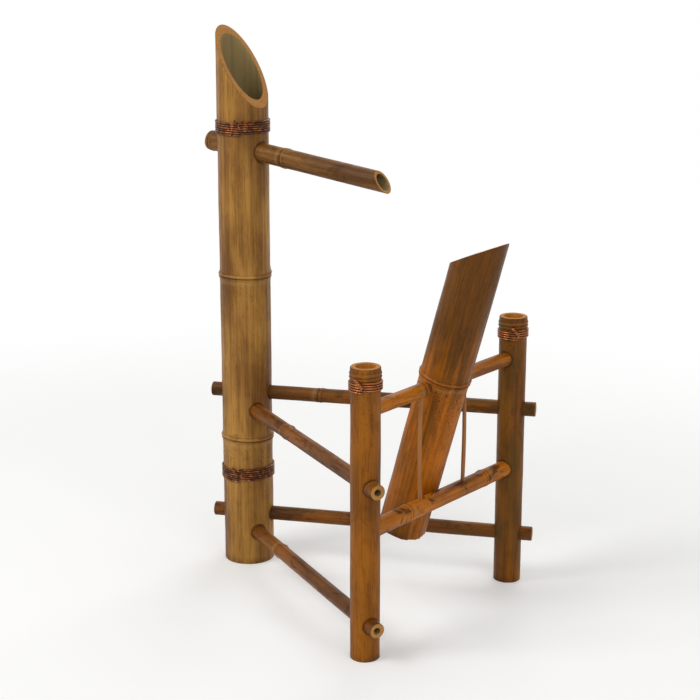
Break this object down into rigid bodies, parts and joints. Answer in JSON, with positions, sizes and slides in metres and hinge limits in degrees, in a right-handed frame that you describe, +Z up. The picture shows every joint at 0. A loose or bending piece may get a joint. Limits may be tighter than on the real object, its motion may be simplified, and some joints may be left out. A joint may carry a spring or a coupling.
{
  "type": "deer scarer",
  "caption": "Bamboo deer scarer: a spout on a tall post fills a pivoted tube that tips over, empties and knocks back against a rail.",
  "frame": {"origin": "centre of the tall post's foot, on the ground", "axes": "+Z up; +X from the tall post towards the tipping tube, the way it pours; +Y towards the right short post"},
  "size_m": [0.3881, 0.293, 0.6],
  "materials": {
    "post_bamboo": "smoked bamboo with its skin on, satin",
    "spout_bamboo": "smoked bamboo with its skin on, satin",
    "pole_bamboo": "mottled brown bamboo, satin",
    "rail_bamboo": "golden mottled bamboo, satin",
    "tube_bamboo": "smoked bamboo with fine dark specks, satin",
    "pale_stick": "plain split bamboo, matt",
    "copper_wire": "copper wire, bright",
    "dark_wire": "copper wire, browned",
    "pin_steel": "plain drawn rod",
    "hose_rubber": "plain flexible hose"
  },
  "bodies": {
    "frame": {"feed_hose": "hose_rubber", "left_arm": "rail_bamboo", "left_lower_pole": "pole_bamboo", "left_post": "post_bamboo", "left_post_wrap": "copper_wire", "left_stick": "pale_stick", "left_upper_pole": "pole_bamboo", "lower_rail": "rail_bamboo", "pivot_pin": "pin_steel", "right_arm": "rail_bamboo", "right_lower_pole": "pole_bamboo", "right_post": "post_bamboo", "right_post_wrap": "copper_wire", "right_stick": "pale_stick", "right_upper_pole": "pole_bamboo", "spout": "spout_bamboo", "tall_post": "post_bamboo", "tall_post_lower_wrap": "dark_wire", "tall_post_upper_wrap": "dark_wire"},
    "tumbler": {"tumbler_tube": "tube_bamboo"}
  },
  "joints": [
    {"name": "tumbler_tip", "type": "hinge", "parent": "frame", "child": "tumbler", "pos_m": [0.268, 0, 0.255], "axis": [0, 1, 0], "range_deg": [0, 98]}
  ]
}
